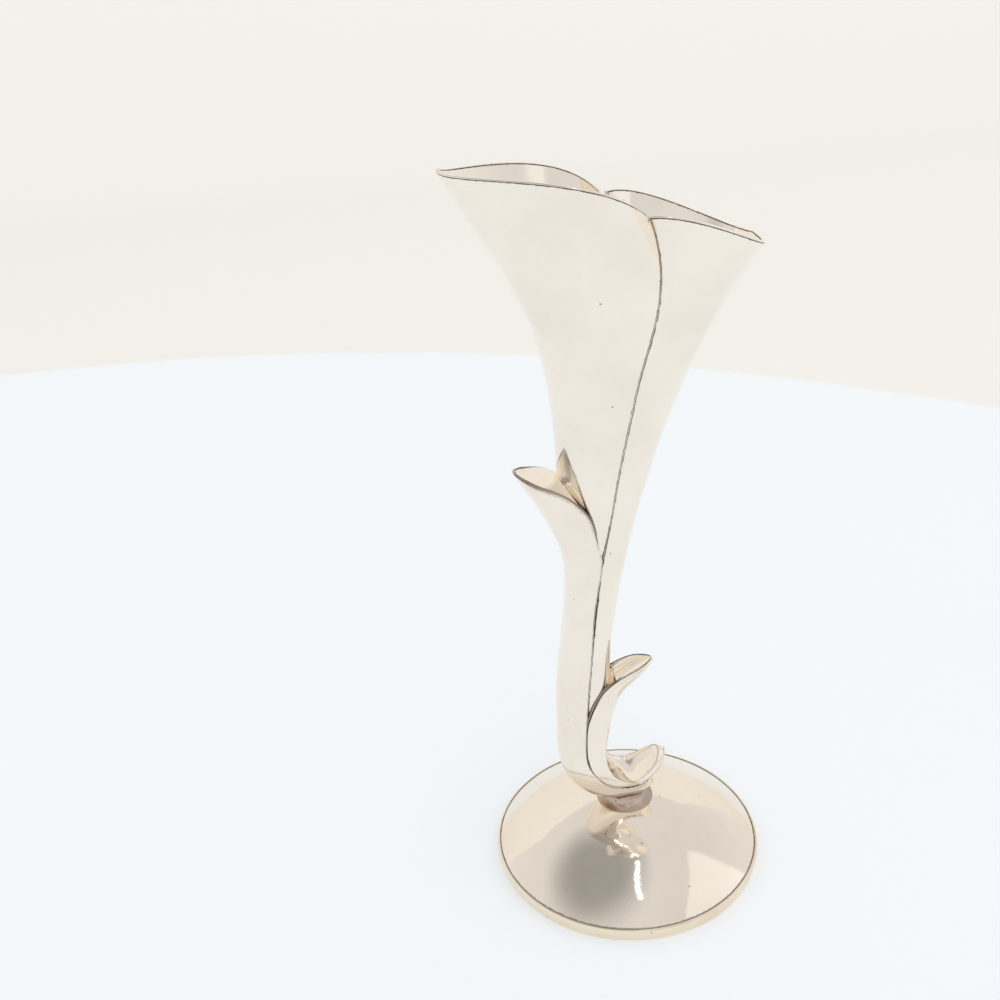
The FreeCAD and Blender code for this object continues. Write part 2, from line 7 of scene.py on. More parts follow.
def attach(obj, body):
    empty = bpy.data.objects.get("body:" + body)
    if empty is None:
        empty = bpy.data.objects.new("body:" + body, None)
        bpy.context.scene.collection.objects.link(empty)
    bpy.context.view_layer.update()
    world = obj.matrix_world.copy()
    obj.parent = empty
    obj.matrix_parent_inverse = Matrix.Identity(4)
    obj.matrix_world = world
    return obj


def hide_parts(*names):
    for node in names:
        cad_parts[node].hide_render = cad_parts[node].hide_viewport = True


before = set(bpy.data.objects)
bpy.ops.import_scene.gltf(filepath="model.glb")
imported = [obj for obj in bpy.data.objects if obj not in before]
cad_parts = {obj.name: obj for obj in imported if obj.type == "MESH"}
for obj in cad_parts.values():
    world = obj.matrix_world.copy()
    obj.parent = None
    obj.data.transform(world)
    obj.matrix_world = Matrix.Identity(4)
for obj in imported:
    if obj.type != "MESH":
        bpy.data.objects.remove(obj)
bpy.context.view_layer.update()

# The view: the vase from beside it and a little behind, looking down by 25 degrees, from about
# 26 centimetres away. The three directions are the picture's right, its up and its back.
VIEW_PLACE = (-0.05786, -0.22396, 0.21590)
VIEW_RIGHT = (0.98330, -0.16635, -0.07377)
VIEW_UP = (0.13664, 0.40719, 0.90306)
VIEW_BACK = (-0.12019, -0.89807, 0.42312)
LENS_LENGTH = 38.16
SENSOR_WIDTH = 36
camera = bpy.data.objects.new("camera", bpy.data.cameras.new("camera"))
camera.data.lens = LENS_LENGTH
camera.data.sensor_width = SENSOR_WIDTH
view_columns = ((*VIEW_RIGHT, 0), (*VIEW_UP, 0), (*VIEW_BACK, 0), (*VIEW_PLACE, 1))
camera.matrix_world = Matrix(view_columns).transposed()
bpy.context.scene.collection.objects.link(camera)
bpy.context.scene.camera = camera
bpy.context.scene.view_settings.view_transform = "Standard"


# Floor: a sheet of bluish white card whose far edge is a long curve, with warm white paper
# behind and above it. Both are matt, and neither belongs to the vase.
class Output:
    """One output of a node. Arithmetic on it adds Math nodes, so a pattern is written as a sum."""

    def __init__(self, finish, socket):
        self.finish = finish
        self.socket = socket

    def math(self, operation, *values):
        return self.finish.node("Math", {"operation": operation}, dict(enumerate(values)))

    def __add__(self, other):
        return self.math("ADD", self, other)

    def __radd__(self, other):
        return self.math("ADD", other, self)

    def __sub__(self, other):
        return self.math("SUBTRACT", self, other)

    def __rsub__(self, other):
        return self.math("SUBTRACT", other, self)

    def __mul__(self, other):
        return self.math("MULTIPLY", self, other)

    def __rmul__(self, other):
        return self.math("MULTIPLY", other, self)

    def rise(self, start, end):
        """0 below start, 1 above end, and a smooth rise between them, or a fall if end is lower."""
        sockets = {"Value": self, "From Min": start, "From Max": end}
        return self.finish.node("MapRange", {"interpolation_type": "SMOOTHSTEP"}, sockets)


class Finish:
    """A node tree in the making. One method adds every kind of node."""

    def __init__(self, owner):
        owner.use_nodes = True
        self.owner = owner
        self.tree = owner.node_tree
        self.tree.nodes.clear()

    def node(self, kind, settings=None, sockets=None, output=0):
        """A node with its settings made first, then its sockets' values or links."""
        node = self.tree.nodes.new("ShaderNode" + kind)
        for key, value in (settings or {}).items():
            setattr(node, key, value)
        for key, value in (sockets or {}).items():
            if isinstance(value, Output):
                self.tree.links.new(value.socket, node.inputs[key])
            else:
                node.inputs[key].default_value = value
        return Output(self, node.outputs[output]) if node.outputs else node

    def place(self):
        """The point's place on the piece, in metres."""
        return self.node("TexCoord", output="Object")

    def axis(self, vector, letter):
        """One part of a vector, X, Y or Z, as a number."""
        return self.node("SeparateXYZ", None, {"Vector": vector}, output=letter)

    def noise(self, vector, scale, detail=2.0, roughness=0.5):
        """A soft random pattern from 0 to 1, scale patches to the metre."""
        sockets = {"Vector": vector, "Scale": scale, "Detail": detail, "Roughness": roughness}
        return self.node("TexNoise", None, sockets)

    def stretched(self, vector, scales):
        """The vector with each of its parts times its own scale."""
        return self.node("VectorMath", {"operation": "MULTIPLY"}, {0: vector, 1: scales})

    def blend(self, share, start, end):
        """The colour that lies the given share of the way from start to end."""
        colours = [c if isinstance(c, Output) else (*c, 1) for c in (start, end)]
        sockets = {"Factor": share, 6: colours[0], 7: colours[1]}
        return self.node("Mix", {"data_type": "RGBA"}, sockets, output=2)


def grid_faces(rows, columns):
    """The four-cornered faces of a grid of points numbered row by row."""
    corner = np.arange(rows * columns).reshape(rows, columns)
    quads = np.stack([corner[:-1, :-1], corner[1:, :-1], corner[1:, 1:], corner[:-1, 1:]], -1)
    return quads.reshape(-1, 4)


def build(name, points, faces, material, from_edge=None):
    """
    A smooth mesh object of four-cornered faces, turned to point outwards if they don't. Where
    given, from_edge holds each point's distance from the nearest joint or edge, in millimetres.
    """
    corners = points[faces]
    diagonals = np.cross(corners[:, 2] - corners[:, 0], corners[:, 3] - corners[:, 1])
    if (corners.mean(1) * diagonals).sum() < 0:
        faces = faces[:, ::-1]
    mesh = bpy.data.meshes.new(name)
    mesh.from_pydata(points, [], faces)
    mesh.polygons.foreach_set("use_smooth", np.ones(len(faces), bool))
    mesh.materials.append(material)
    if from_edge is not None:
        distances = mesh.attributes.new("from_edge", "FLOAT", "POINT")
        distances.data.foreach_set("value", from_edge.astype(np.float32))
    piece = bpy.data.objects.new(name, mesh)
    bpy.context.scene.collection.objects.link(piece)
    return piece


CARD_MIDDLE = (-0.326, -0.202, 0)
CARD_RADIUS = 0.764
EDGE_SOFTNESS = 0.010
EDGE_RIPPLE = 0.016
CARD_WHITES = (0.90, 0.92, 0.94), (0.92, 0.935, 0.95)
CARD_GLOW = (0.24, 0.265, 0.285)
PAPER_WHITE = (0.94, 0.92, 0.87)
PAPER_GLOW = (0.21, 0.21, 0.20)
BLACK = (0, 0, 0)
floor_finish = Finish(bpy.data.materials.new("floor_card"))
place = floor_finish.place()
distance = {"operation": "DISTANCE"}
from_middle = floor_finish.node("VectorMath", distance, {0: place, 1: CARD_MIDDLE}, output=1)
ripple = floor_finish.noise(place, 9, 1) * EDGE_RIPPLE
behind = (from_middle + ripple).rise(CARD_RADIUS, CARD_RADIUS + EDGE_SOFTNESS)
card = floor_finish.blend(floor_finish.noise(place, 6, 2), *CARD_WHITES)
colour = floor_finish.blend(behind, card, PAPER_WHITE)
# What is seen, or mirrored in the silver, is a shade paler than what lights the vase
seen = floor_finish.node("LightPath", output="Is Camera Ray")
mirrored = floor_finish.node("LightPath", output="Is Glossy Ray")
shown = seen.math("MAXIMUM", seen, mirrored)
paler = floor_finish.blend(behind, CARD_GLOW, PAPER_GLOW)
glow = floor_finish.blend(shown, BLACK, paler)
matt = {"Roughness": 1.0, "Specular IOR Level": 0.0, "Emission Strength": 1.0}
sockets = {"Base Color": colour, "Emission Color": glow, **matt}
skin = floor_finish.node("BsdfPrincipled", None, sockets)
floor_finish.node("OutputMaterial", None, {"Surface": skin})

# The sheet lies level under the vase and curves up far behind it: past the curve's start, its
# height is the steepness times the square of the distance from there
FLOOR_REACH = 3.0
CURVE_START = 1.2
CURVE_STEEPNESS = 0.9
across = np.linspace(-FLOOR_REACH, FLOOR_REACH, 25)
depth = np.linspace(-FLOOR_REACH, FLOOR_REACH, 97)
depth_grid, across_grid = np.meshgrid(depth, across, indexing="ij")
lift_grid = CURVE_STEEPNESS * np.clip(depth_grid - CURVE_START, 0, None) ** 2
floor_points = np.stack([across_grid, depth_grid, lift_grid], -1).reshape(-1, 3)
floor_faces = grid_faces(len(depth), len(across))
floor = build("floor", floor_points, floor_faces[:, ::-1], floor_finish.owner)

# Light: a pale room all round, a large soft panel on the right and a small tube lamp above. The
# room is a little dimmer low at the camera's right and, softly, over the vase's left.
WALL_WHITE = (0.94, 0.945, 0.94)
CEILING_GREY = (0.84, 0.83, 0.82)
LOW_GREY = (0.62, 0.625, 0.63)
OVERHEAD_GREY = (0.30, 0.30, 0.30)
ROOM_STRENGTH = 0.93
world = bpy.data.worlds.new("room")
bpy.context.scene.world = world
room = Finish(world)
direction = room.node("TexCoord", output="Generated")


def towards(aim):
    """The cosine of the angle between the direction and the aim."""
    length = math.sqrt(sum(part * part for part in aim))
    unit = tuple(part / length for part in aim)
    product = {"operation": "DOT_PRODUCT"}
    return room.node("VectorMath", product, {0: direction, 1: unit}, output=1)


def room_patch(aim, outer, inner):
    """A soft round patch of the room, 1 within the inner angle, in degrees, and 0 past the outer."""
    return towards(aim).rise(math.cos(math.radians(outer)), math.cos(math.radians(inner)))


height = room.axis(direction, "Z")
walls = room.blend(height.rise(0.1, 0.75), WALL_WHITE, CEILING_GREY)
walls = room.blend(room_patch((0.60, -0.78, 0.12), 55, 10) * 0.4, walls, LOW_GREY)
walls = room.blend(room_patch((-0.31, -0.02, 0.95), 34, 12) * 0.8, walls, OVERHEAD_GREY)
background = room.node("Background", None, {"Color": walls, "Strength": ROOM_STRENGTH})
room.node("OutputWorld", None, {"Surface": background})


def soft_panel(name, width, depth, place, along, strength, colour):
    """
    A flat lamp that faces the vase, with its width along a direction. Its strength is how bright
    it looks, so its power is the strength times its area times pi.
    """
    lamp = bpy.data.lights.new(name, "AREA")
    lamp.shape = "RECTANGLE"
    lamp.size = width
    lamp.size_y = depth
    lamp.energy = strength * width * depth * math.pi
    lamp.color = colour
    away = np.array(place) / np.linalg.norm(place)
    side = np.array(along) - np.dot(along, away) * away
    side /= np.linalg.norm(side)
    turned_place = np.eye(4)
    turned_place[:3] = np.stack([side, np.cross(away, side), away, place], -1)
    panel = bpy.data.objects.new(name, lamp)
    panel.matrix_world = Matrix(turned_place.tolist())
    bpy.context.scene.collection.objects.link(panel)


TUBE_PLACE = (0.07, -0.38, 1.45)
TUBE_ALONG = (0.05, 0.32, 0.08)
PANEL_PLACE = (1.9, -0.9, 1.3)
PANEL_ALONG = (0, 1, 0)
soft_panel("tube_lamp", 0.52, 0.035, TUBE_PLACE, TUBE_ALONG, 5.0, (1.0, 0.99, 0.97))
soft_panel("soft_panel", 2.2, 1.8, PANEL_PLACE, PANEL_ALONG, 0.22, (1.0, 0.985, 0.96))


# Foot rim: a band of silver-plated brass turned up to a rounded bead round the dome, with a
# ledge inside that the dome's edge is soldered on. The plate is worn, so the brass warms it.
def smooth_line(points, count):
    """
    Even samples of the cubic spline through evenly spaced points. Its end slopes are those of
    the cubic through the last four points, and inside, each slope and its two neighbours in the
    proportion 1, 4, 1 add up to three times the step between the points on either side.
    """
    p = np.asarray(points, float)
    last = len(p) - 1
    system = 4 * np.eye(last + 1) + np.eye(last + 1, k=1) + np.eye(last + 1, k=-1)
    system[0] = np.eye(last + 1)[0]
    system[-1] = np.eye(last + 1)[-1]
    known = np.empty_like(p)
    known[0] = (-11 * p[0] + 18 * p[1] - 9 * p[2] + 2 * p[3]) / 6
    known[1:-1] = 3 * (p[2:] - p[:-2])
    known[-1] = (11 * p[-1] - 18 * p[-2] + 9 * p[-3] - 2 * p[-4]) / 6
    slope = np.linalg.solve(system, known)
    along = np.linspace(0, last, count)
    i = np.minimum(along.astype(int), last - 1)
    u = (along - i)[:, None]
    start = (1 + 2 * u) * (1 - u) ** 2 * p[i] + u * (1 - u) ** 2 * slope[i]
    return start + u * u * (3 - 2 * u) * p[i + 1] + u * u * (u - 1) * slope[i + 1]


def ring_faces(rows, columns):
    """The four-cornered faces of a grid that closes on itself both ways."""
    corner = np.arange(rows * columns).reshape(rows, columns)
    ahead = np.roll(corner, -1, 0)
    quads = np.stack([corner, ahead, np.roll(ahead, -1, 1), np.roll(corner, -1, 1)], -1)
    return quads.reshape(-1, 4)


def turned(name, section, turns, material, from_edge=None):
    """
    A closed ring: a closed section of (radius, height) points, in millimetres, carried round Z.
    The point at angle t is (radius cos t, radius sin t, height).
    """
    radius, height = np.asarray(section, float).T / 1000
    angle = np.linspace(0, 2 * np.pi, turns, endpoint=False)[:, None]
    points = np.stack([radius * np.cos(angle), radius * np.sin(angle), height + 0 * angle], -1)
    edge = None if from_edge is None else np.tile(from_edge, turns)
    return build(name, points.reshape(-1, 3), ring_faces(turns, len(radius)), material, edge)


PATCHES = 38
PINPRICKS = 330
SCRATCHES = 1500
WAVES = 55
DIRT_AND_SHADE_GRAINS = 900
SCRATCH_DEPTH = 0.000008
DIRT_HEIGHT = 0.00015
PINPRICK_BROWN = (0.16, 0.13, 0.10)
# The edge band's dark brown: dirt and solder at joints, and painted shade along free edges
DIRT_AND_SHADE_BROWN = (0.07, 0.05, 0.04)


def silver(
    name, colour, tint, tint_amount, roughness, waviness, pins=1.0, joint=0.0, joint_and_shade_dark=0.8
):
    """
    Old polished plate: cloudy patches of a second colour, roughness that follows them, fine
    wiping scratches, a few dark pinpricks, and the faint waviness of sheet worked by hand. Within
    the joint's width of a joint or edge, in millimetres, a ragged dark band darkens and roughens
    it: dirt and solder at the joints, and painted shade along free edges.
    The counts above are to the metre, and the depths and the waviness are in metres.
    """
    finish = Finish(bpy.data.materials.new(name))
    place = finish.place()
    patches = finish.noise(place, PATCHES, 4, 0.62).rise(0.42, 0.72)
    base = finish.blend(patches * tint_amount, colour, tint)
    cell_sockets = {"Vector": place, "Scale": PINPRICKS}
    spots = finish.node("TexVoronoi", None, cell_sockets, output="Distance")
    cells = finish.node("TexVoronoi", None, cell_sockets, output="Color")
    chosen = finish.axis(cells, "X").rise(0.80, 0.90)
    pinprick = spots.rise(0.10, 0.04) * chosen * pins
    base = finish.blend(pinprick * 0.75, base, PINPRICK_BROWN)
    scratch = finish.noise(finish.stretched(place, (1, 1, 0.16)), SCRATCHES, 2, 0.6)
    gloss = patches * 0.05 + scratch.rise(0.5, 0.9) * 0.05 + pinprick * 0.4 + roughness
    grain = scratch * SCRATCH_DEPTH + finish.noise(place, WAVES, 1) * waviness
    if joint:
        from_edge = finish.node("Attribute", {"attribute_name": "from_edge"}, output="Fac")
        ragged_noise = finish.noise(place, DIRT_AND_SHADE_GRAINS, 3, 0.7)
        reach = from_edge + (ragged_noise - 0.5) * (joint * 1.6)
        # The band is dirt and solder at joints, and painted shade along free edges where an edge lies
        # in shadow
        dirt_and_shade = reach.rise(joint, joint * 0.35) * from_edge.rise(-0.16, -0.04)
        base = finish.blend(dirt_and_shade * joint_and_shade_dark, base, DIRT_AND_SHADE_BROWN)
        gloss = gloss + dirt_and_shade * 0.3
        grain = grain + dirt_and_shade * ragged_noise * DIRT_HEIGHT
    normal = finish.node("Bump", None, {"Strength": 1.0, "Distance": 1.0, "Height": grain})
    sockets = {"Base Color": base, "Roughness": gloss, "Normal": normal, "Metallic": 1.0}
    skin = finish.node("BsdfPrincipled", None, sockets)
    finish.node("OutputMaterial", None, {"Surface": skin})
    return finish.owner


FOOT_RADIUS = 36.0
RIM_TOP = 3.5
RIM_LIP = 0.75
WALL = 0.9
SHARP_BEND = math.radians(50)
FOOT_TURNS = 288
lip_inside = FOOT_RADIUS - RIM_LIP
bead = smooth_line([
    (35.60, 0.00), (35.82, 0.55), (35.95, 1.45), (FOOT_RADIUS, 2.30),
    (35.93, 2.98), (35.66, 3.44), (35.40, 3.44), (lip_inside, 3.24),
], 41)
ledge = [(lip_inside, 2.40), (33.65, 2.40), (33.65, 1.40), (34.65, 1.40), (34.70, 0.05)]
rim_silver = silver(
    "rim_silver", (0.90, 0.80, 0.64), (0.80, 0.60, 0.44), 0.7, 0.14, 0.00006,
    joint=0.18, joint_and_shade_dark=0.6,
)
rim_section = np.vstack([bead, ledge])
from_lip = rim_section[:, 0] - lip_inside
foot_rim = turned("foot_rim_bead", rim_section, FOOT_TURNS, rim_silver, from_lip)
foot_rim.data.set_sharp_from_angle(angle=SHARP_BEND)
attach(foot_rim, "root")
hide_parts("foot_rim")

# Foot dome: one disc of brass sheet spun over a wooden form and silver plated. Its edge drops
# into the rim, and its flat top carries the collar.
DOME_TOP = 16.4
GAP = 0.06
LAND_RADIUS = 7.8
STUD_RADIUS = 1.6
dome_start = RIM_TOP - 0.15
dome_edge = lip_inside - GAP
DOME_SHARES = [
    (1.0, 0.0), (0.88, 0.25), (0.75, 0.475), (0.60, 0.685), (0.45, 0.84), (0.32, 0.94),
]
dome_rise = DOME_TOP - dome_start
dome_points = [(dome_edge * out, dome_start + dome_rise * up) for out, up in DOME_SHARES]
dome_line = smooth_line(dome_points + [(LAND_RADIUS, DOME_TOP)], 121)
dome_outside = np.vstack([dome_line, [(5.0, DOME_TOP), (STUD_RADIUS, DOME_TOP)]])
dome_inside = dome_outside[::-1] - (0, WALL)
foot_silver = silver(
    "foot_silver", (0.92, 0.84, 0.74), (0.84, 0.75, 0.65), 0.5, 0.05, 0.00034,
    joint=0.3, joint_and_shade_dark=0.55,
)
dome_section = np.vstack([dome_outside, dome_inside])
from_rim = dome_edge - dome_section[:, 0]
foot_dome = turned("foot_dome_sheet", dome_section, FOOT_TURNS, foot_silver, from_rim)
foot_dome.data.set_sharp_from_angle(angle=SHARP_BEND)
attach(foot_dome, "root")
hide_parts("foot_dome")

# Fixings: a brass stud from the stem's core through the collar and the dome, with a washer and
# a nut below. They are raw brass, gone brown in the dark under the foot.
brass = silver("old_brass", (0.62, 0.46, 0.24), (0.30, 0.20, 0.11), 0.8, 0.32, 0.00002)
for node in ("fixing_stud", "fixing_washer", "fixing_nut"):
    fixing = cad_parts[node]
    fixing.data.materials.clear()
    fixing.data.materials.append(brass)

# Stem core: a rough casting of a grey metal inside the strap, which stiffens the bend and takes
# the stud. It is poured to shape and soldered in before the trumpet goes on.
core_metal = silver("grey_casting", (0.48, 0.47, 0.46), (0.30, 0.29, 0.28), 0.8, 0.45, 0.00006)
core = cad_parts["stem_core"]
core.data.materials.clear()
core.data.materials.append(core_metal)


# Trumpet: the back petal and the front petal are formed from silver sheet over a stake, lapped
# and soldered along two side seams. The back one is the outer one at the seams.
def formed_sheet(rows, along, across):
    """
    Points of a sheet between a spine in the plane of symmetry and an edge beside it. A row is
    spine x, z, edge x, y, z and five shares: how wide the section leaves the spine, how far it
    has come at its second handle, how much further its height has come at its first and at its
    second handle, and how wide it is at the second.
    Rows are joined by smooth lines, and the section is the cubic with those two handles.
    """
    columns = smooth_line(rows, along).T[..., None]
    spine_x, spine_z, edge_x, edge_y, edge_z, leave, come, drop, rise, wide = columns
    side = np.linspace(-1, 1, across)
    a = abs(side)
    first = 3 * a * (1 - a) ** 2
    second = 3 * a * a * (1 - a)
    third = a ** 3
    reach = second * come + third
    x = spine_x + (edge_x - spine_x) * reach
    y = np.sign(side) * edge_y * (first * leave + second * wide + third)
    z = spine_z + (edge_z - spine_z) * (reach + first * drop + second * rise)
    return np.stack([x, y, z], -1)


def moved_out(grid, distance):
    """The grid moved along its normals, the cross product of its steps across and along."""
    normal = np.cross(np.gradient(grid, axis=1), np.gradient(grid, axis=0))
    return grid + normal / np.linalg.norm(normal, axis=-1, keepdims=True) * distance


def border(grid):
    """The grid's outline as one loop of points."""
    return np.concatenate([grid[0, :-1], grid[:-1, -1], grid[-1, :0:-1], grid[:0:-1, 0]])


def edge_distance(grid):
    """Each point's distance from the grid's nearest edge, along its own row and column."""
    distances = []
    for axis in (0, 1):
        steps = np.linalg.norm(np.diff(grid, axis=axis), axis=-1)
        run = np.cumsum(np.insert(steps, 0, 0, axis=axis), axis=axis)
        distances.append(np.minimum(run, np.take(run, [-1], axis=axis) - run))
    return np.minimum(*distances)


def closed_shell(name, outside, inside, bulge, material, free=None):
    """
    A solid between two equal grids, in millimetres, with a rounded edge. The two outlines draw
    in by the bulge, and a half ellipse of loops joins them: middle + half step times cos +
    outward bulge times sin, for angles from 0 to pi. Given free, the inside skin has no joint,
    and nor has the outside skin from the row of that number on.
    """
    rows, columns = outside.shape[:2]
    near = outside.copy()
    near[0], near[-1] = outside[1], outside[-2]
    near[:, 0], near[:, -1] = near[:, 1], near[:, -2]
    out_loop, in_loop = border(outside), border(inside)
    half = (out_loop - in_loop) / 2
    outward = out_loop - border(near)
    square = (half * half).sum(-1, keepdims=True)
    outward -= half * (outward * half).sum(-1, keepdims=True) / square
    outward *= np.minimum(bulge, np.sqrt(square)) / np.linalg.norm(outward, axis=-1, keepdims=True)
    outline = border(np.arange(rows * columns).reshape(rows, columns, 1))[:, 0]
    points = np.concatenate([outside.reshape(-1, 3), inside.reshape(-1, 3)])
    points[outline] -= outward
    points[outline + rows * columns] -= outward
    turn = np.radians([15, 32, 50, 70, 90, 110, 130, 148, 165])[:, None, None]
    loops = (out_loop + in_loop) / 2 - outward + half * np.cos(turn) + outward * np.sin(turn)
    count = len(outline)
    loop_numbers = 2 * rows * columns + np.arange(len(turn) * count).reshape(len(turn), count)
    rings = np.vstack([outline, loop_numbers, outline + rows * columns])
    ahead = np.roll(rings, -1, 1)
    strips = np.stack([rings[:-1], ahead[:-1], ahead[1:], rings[1:]], -1).reshape(-1, 4)
    skin = grid_faces(rows, columns)
    faces = np.concatenate([skin, skin[:, ::-1] + rows * columns, strips])
    points = np.concatenate([points, loops.reshape(-1, 3)]) / 1000
    into_edge = np.repeat(-np.sin(turn[:, 0, 0]), count)
    skins = np.stack([edge_distance(outside), edge_distance(inside)])
    if free is not None:
        skins[1] += 5
        skins[0, free:] += 5
    from_edge = np.concatenate([skins.ravel(), into_edge])
    return build(name, points, faces, material, from_edge)


def mix(start, end, share):
    """The number that lies the given share of the way from start to end."""
    return start + (end - start) * share


VASE_TOP = 186.2
SEAM_TOP = 175.5
FRONT_TOP = 166.3
MOUTH_BACK = -35.8
MOUTH_FRONT = 33.6
MOUTH_SEAM = 3.9
MOUTH_HALF_WIDTH = 18.5
STEM_TOP = 81.2
STEM_BACK = -7.0 - 6.6
STEM_FRONT = -7.0 + 6.6
STEM_SEAM = -7.4
STEM_HALF_WIDTH = 6.9
BEND_RADIUS = 17.65
BEND_HALF_WIDTH = 5.65
BEND_SEAM_SHARE = 0.62
BEND_FRONT_SHARE = 0.38
COLLAR_HEIGHT = 1.4
BEND_LEVEL = DOME_TOP + COLLAR_HEIGHT + BEND_RADIUS
EDGE_ROUNDING = 0.3
# A row holds shares of the way from the stem's top to the mouth: the rise, the back's line, the
# seam's line and half width, the front's line, and 1 where the strap covers the back petal
TRUMPET_SHARES = [
    (0.000, 0.000, 0.03, 0.00, 0.007, 1), (0.113, 0.000, 0.17, 0.00, 0.069, 1),
    (0.233, 0.006, 0.37, 0.05, 0.143, 0), (0.366, 0.018, 0.52, 0.24, 0.241, 0),
    (0.494, 0.045, 0.69, 0.44, 0.344, 0), (0.626, 0.155, 0.88, 0.635, 0.475, 0),
    (0.735, 0.335, 1.10, 0.79, 0.597, 0), (0.857, 0.630, 1.23, 0.925, 0.762, 0),
    (1.000, 1.000, 1.00, 1.00, 1.000, 0),
]
BACK_HANDLE_SHARES = [
    (0.60, 0.45, 0.00, 0.00, 1.00), (0.60, 0.45, 0.00, 0.00, 1.00), (0.60, 0.45, 0.00, 0.00, 1.00),
    (0.60, 0.45, 0.00, 0.00, 1.00), (0.62, 0.45, 0.00, 0.00, 1.00), (0.66, 0.47, 0.00, -0.02, 1.04),
    (0.71, 0.50, 0.02, -0.12, 1.11), (0.65, 0.58, 0.08, -0.35, 1.26), (0.40, 0.72, 0.22, -0.80, 1.50),
]
FRONT_HANDLE_SHARES = [
    (0.60, 0.45, 0.00, 0.00, 1.00), (0.60, 0.45, 0.00, 0.00, 1.00), (0.60, 0.45, 0.00, 0.00, 1.00),
    (0.60, 0.45, 0.00, 0.00, 1.00), (0.62, 0.46, 0.00, 0.00, 1.00), (0.65, 0.48, 0.00, 0.00, 1.02),
    (0.71, 0.51, 0.00, 0.04, 1.06), (0.86, 0.57, -0.06, 0.18, 1.18), (1.20, 0.66, -0.25, 0.47, 1.35),
]
STEM_SHARES = [
    (0.20, 0.03, 0.05, 0.10, 0.155), (0.42, 0.16, 0.27, 0.45, 0.50), (0.73, 0.62, 0.66, 0.85, 0.71),
]


def stem_lines(rise, back, seam, width, front):
    """Back x, seam x and y, front x and the level of one row of the stem."""
    level = mix(BEND_LEVEL, STEM_TOP, rise)
    back_x = mix(-BEND_RADIUS, STEM_BACK, back)
    seam_x = mix(-BEND_RADIUS * BEND_SEAM_SHARE, STEM_SEAM, seam)
    seam_y = mix(BEND_HALF_WIDTH, STEM_HALF_WIDTH, width)
    front_x = mix(-BEND_RADIUS * BEND_FRONT_SHARE, STEM_FRONT, front)
    return back_x, seam_x, seam_y, front_x, level


back_rows = []
front_rows = []
for shares in STEM_SHARES:
    _, seam_x, seam_y, front_x, level = stem_lines(*shares)
    front_y = seam_y - WALL - GAP
    front_rows.append((front_x, level, seam_x, front_y, level, *FRONT_HANDLE_SHARES[0]))
trumpet = zip(TRUMPET_SHARES, BACK_HANDLE_SHARES, FRONT_HANDLE_SHARES)
for (rise, back, seam, width, front, tuck), back_handle, front_handle in trumpet:
    hidden = tuck * (WALL + 3 * GAP)
    seam_x = mix(STEM_SEAM, MOUTH_SEAM, seam)
    seam_y = mix(STEM_HALF_WIDTH, MOUTH_HALF_WIDTH, width)
    seam_z = mix(STEM_TOP, SEAM_TOP, rise)
    back_x = mix(STEM_BACK, MOUTH_BACK, back) + hidden
    back_z = mix(STEM_TOP, VASE_TOP, rise)
    front_x = mix(STEM_FRONT, MOUTH_FRONT, front)
    front_z = mix(STEM_TOP, FRONT_TOP, rise)
    back_rows.append((back_x, back_z, seam_x, seam_y - hidden, seam_z, *back_handle))
    front_rows.append((front_x, front_z, seam_x, seam_y - WALL - GAP, seam_z, *front_handle))
# The petals' edge band is dirt and solder along the seams, and painted shade along the mouth's rim
# for the sheet's edge in shadow
petal_silver = silver(
    "petal_silver", (0.94, 0.87, 0.77), (0.86, 0.77, 0.67), 0.6, 0.09, 0.00012,
    joint=0.55, joint_and_shade_dark=0.95,
)
back_outside = formed_sheet(back_rows, 221, 181)
back_inside = moved_out(back_outside, WALL)
back_petal = closed_shell(
    "back_petal_sheet", back_outside, back_inside, EDGE_ROUNDING, petal_silver
)
front_outside = formed_sheet(front_rows, 261, 161)
front_inside = moved_out(front_outside, -WALL)
front_petal = closed_shell(
    "front_petal_sheet", front_outside, front_inside, EDGE_ROUNDING, petal_silver
)
for petal, node in ((back_petal, "back_petal"), (front_petal, "front_petal")):
    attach(petal, "root")
    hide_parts(node)

# Upper leaf: a hollow strap of sheet that runs from under the scoop round the bend and up the
# back of the stem, where it fills out into a blade. The blade's top is dished and its two lips
# are soldered against the back petal.
# A row: the angle on the bend, and the spine's radius, the edge's radius and the width as shares
STRAP_BEND_SHARES = [
    (119, 0.890, 0.676, 0.80), (112, 0.920, 0.680, 0.98), (95, 0.970, 0.680, 1.00),
    (65, 1.006, 0.665, 1.00), (35, 1.012, 0.616, 1.00), (5, 1.004, 0.625, 0.98),
]
# A row: reach and rise of the spine, reach and rise of the edge, the width, and reach and rise of
# the dish. The dish is shallower than the solid's where the petal hides it, to end inside the wall
BLADE_SHARES = [
    (0.00, 0.294, -0.11, 0.313, 0.82, -0.050, 0.300),
    (0.13, 0.451, -0.05, 0.485, 0.90, -0.060, 0.580),
    (0.29, 0.569, 0.01, 0.613, 0.93, -0.050, 0.800),
    (0.47, 0.686, 0.13, 0.736, 0.97, -0.010, 0.915),
    (0.67, 0.804, 0.40, 0.865, 1.00, 0.260, 0.935),
    (0.85, 0.897, 0.71, 0.930, 0.77, 0.560, 0.950),
    (0.96, 0.961, 0.92, 0.975, 0.37, 0.820, 0.970),
]
strap_handles = (0.75, 0.30, 0.0, 0.0, 1.00)
blade_handles = (0.60, 0.38, 0.0, 0.0, 1.00)
tip_handles = (0.35, 0.34, 0.0, 0.0, 0.67)
UPPER_TIP = (-24.4, 117.3)
BLADE_HALF_WIDTH = 8.8
TIP_HALF_WIDTH = 0.45
TIP_DROP = 0.15


def on_bend(angle, share):
    """A point (x, z) on the bend, from the stem's back, down and round to the front."""
    turn = math.radians(angle)
    return -BEND_RADIUS * share * math.cos(turn), BEND_LEVEL - BEND_RADIUS * share * math.sin(turn)


